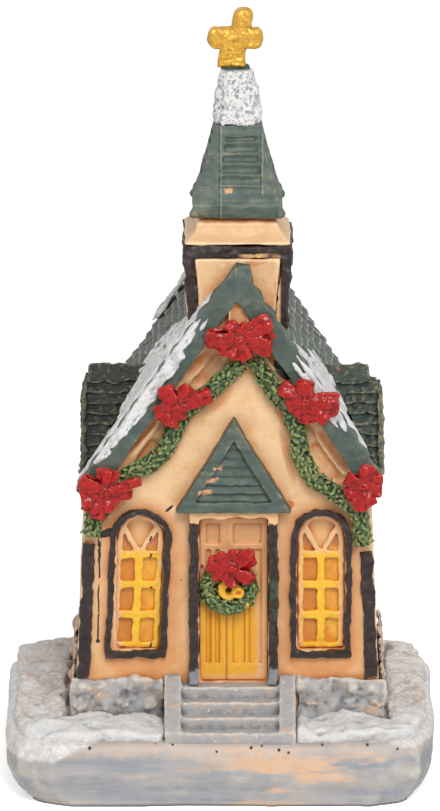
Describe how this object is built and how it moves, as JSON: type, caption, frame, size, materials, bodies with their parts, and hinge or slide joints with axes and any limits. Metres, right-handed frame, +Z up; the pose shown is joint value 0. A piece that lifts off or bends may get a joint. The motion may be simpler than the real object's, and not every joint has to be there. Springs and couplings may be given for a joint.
{
  "type": "lighted decorative house",
  "caption": "Small snow-covered resin church with a spire and cross, lit from inside by a lamp on a battery unit set into its base.",
  "frame": {"origin": "middle of the underside of the slab", "axes": "+Z up, -Y towards the front with the door, +X to the right as seen from the front"},
  "size_m": [0.06, 0.05, 0.1096],
  "materials": {
    "slab_resin": "hand-painted resin, grey-white wash with bare tan patches",
    "snow_paint": "stippled white snow paint, rough",
    "stone_paint": "cast stone, grey-blue and brown wash",
    "peach_resin": "waxy translucent peach resin, orange wash in the recesses",
    "dark_paint": "hand-painted near-black brown lines",
    "yellow_paint": "yellow wash over peach resin",
    "amber_pane": "translucent amber, lit from inside",
    "green_paint": "dark grey-green paint with worn edges",
    "shingle_paint": "dark green-black paint, tan dry-brush on the butts",
    "fir_paint": "green needles with a yellow-green dry-brush",
    "red_gloss": "glossy red paint, darker in the folds",
    "gold_paint": "gold paint over rough casting",
    "white_plastic": "moulded white plastic",
    "black_plastic": "moulded black plastic",
    "black_insulation": "wire insulation",
    "red_insulation": "wire insulation",
    "steel": "plated steel",
    "lamp_lens": "warm white lamp body"
  },
  "bodies": {
    "house": {"base_slab": "slab_resin", "snow_left": "snow_paint", "snow_right": "snow_paint", "front_steps": "stone_paint", "stone_plinth_left": "stone_paint", "stone_plinth_right": "stone_paint", "front_wall": "peach_resin", "rear_wall": "peach_resin", "left_wall": "peach_resin", "right_wall": "peach_resin", "corner_post_left": "dark_paint", "corner_post_right": "dark_paint", "window_frame_left": "dark_paint", "window_frame_right": "dark_paint", "window_tracery_left": "yellow_paint", "window_tracery_right": "yellow_paint", "window_pane_left": "amber_pane", "window_pane_right": "amber_pane", "door_leaf_left": "yellow_paint", "door_leaf_right": "yellow_paint", "porch_frame": "dark_paint", "porch_pediment": "green_paint", "wreath": "fir_paint", "wreath_bow": "red_gloss", "main_roof_left": "shingle_paint", "main_roof_right": "shingle_paint", "bargeboard_left": "green_paint", "bargeboard_right": "green_paint", "cross_roof_left_front": "shingle_paint", "cross_roof_left_rear": "shingle_paint", "cross_roof_right_front": "shingle_paint", "cross_roof_right_rear": "shingle_paint", "roof_snow_left": "snow_paint", "roof_snow_right": "snow_paint", "garland_left": "fir_paint", "garland_right": "fir_paint", "bow_top": "red_gloss", "bow_upper_left": "red_gloss", "bow_upper_right": "red_gloss", "bow_lower_left": "red_gloss", "bow_lower_right": "red_gloss", "tower_box": "peach_resin", "tower_frame": "dark_paint", "tower_neck": "peach_resin", "spire": "green_paint", "spire_snow": "snow_paint", "cross": "gold_paint", "battery_holder": "white_plastic", "button_cell_1": "steel", "button_cell_2": "steel", "button_cell_3": "steel", "spring_contact": "steel", "plate_contact": "steel", "switch_body": "steel", "led": "lamp_lens", "wire_red": "red_insulation", "wire_black": "black_insulation"},
    "cover": {"battery_cover": "white_plastic"},
    "screw": {"cover_screw": "steel"},
    "knob": {"switch_knob": "black_plastic"}
  },
  "joints": [
    {"name": "cover_tilt", "type": "hinge", "parent": "house", "child": "cover", "pos_m": [0.011, 0.002, 0.001], "axis": [0, -1, 0], "range_deg": [0, 30]},
    {"name": "screw_turn", "type": "hinge", "parent": "cover", "child": "screw", "pos_m": [-0.0131, 0.002, 0.001], "axis": [0, 0, 1], "continuous": true},
    {"name": "switch_slide", "type": "slide", "parent": "house", "child": "knob", "axis": [0, 1, 0], "range_m": [0, 0.002]}
  ]
}
